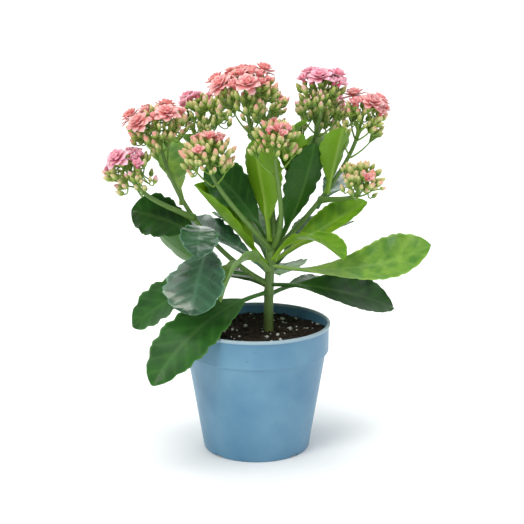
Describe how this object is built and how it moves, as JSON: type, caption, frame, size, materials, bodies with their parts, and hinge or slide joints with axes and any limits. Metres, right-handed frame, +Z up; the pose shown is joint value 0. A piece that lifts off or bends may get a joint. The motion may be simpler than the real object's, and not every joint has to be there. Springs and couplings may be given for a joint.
{
  "type": "potted flaming katy",
  "caption": "Potted flowering succulent: plastic grower's pot with soil, a branching stem, scalloped fleshy leaves, and flat-topped heads of buds and double flowers.",
  "frame": {"origin": "centre of the pot's foot, on the plane that the pot stands on", "axes": "+Z is up along the pot's axis. +X is to the right and +Y to the back of the plant's best side."},
  "size_m": [0.2188, 0.1573, 0.2753],
  "materials": {
    "pot": "satin",
    "soil": "matte",
    "stem": "satin",
    "leaf": "satin",
    "bud": "matte",
    "petal": "matte"
  },
  "bodies": {
    "root": {"pot": "pot", "potting_soil": "soil", "stem": "stem", "leaf_frontLeftLow": "leaf", "leaf_backRightLow": "leaf", "leaf_rightLong": "leaf", "leaf_leftRising": "leaf", "leaf_frontCurl": "leaf", "leaf_leftHanging": "leaf", "leaf_backHigh": "leaf", "leaf_tallRight": "leaf", "leaf_tallCentre": "leaf", "leaf_centreLeft": "leaf", "leaf_leftGlossy": "leaf", "leaf_leftUpright": "leaf", "leaf_leftNodding": "leaf", "leaf_leftOval": "leaf", "leaf_farLeftLow": "leaf", "leaf_backLeftLow": "leaf", "leaf_leftHigh": "leaf", "leaf_rightGlossy": "leaf", "leaf_rightRising": "leaf", "leaf_rightLow": "leaf", "leaf_backLow": "leaf", "leaf_backLeftHigh": "leaf", "leaf_backRightHigh": "leaf", "head_centre": "bud", "flower_centre_1": "petal", "flower_centre_2": "petal", "flower_centre_3": "petal", "flower_centre_4": "petal", "flower_centre_5": "petal", "head_right": "bud", "flower_right_1": "petal", "flower_right_2": "petal", "flower_right_3": "petal", "head_farRight": "bud", "flower_farRight_1": "petal", "flower_farRight_2": "petal", "flower_farRight_3": "petal", "head_left": "bud", "flower_left_1": "petal", "flower_left_2": "petal", "flower_left_3": "petal", "flower_left_4": "petal", "head_lowLeft": "bud", "flower_lowLeft_1": "petal", "head_front": "bud", "head_midRight": "bud", "head_lowRight": "bud", "head_backLeft": "bud", "flower_backLeft_1": "petal", "head_back": "bud", "flower_back_1": "petal", "head_backRight": "bud", "flower_backRight_1": "petal"}
  },
  "joints": []
}
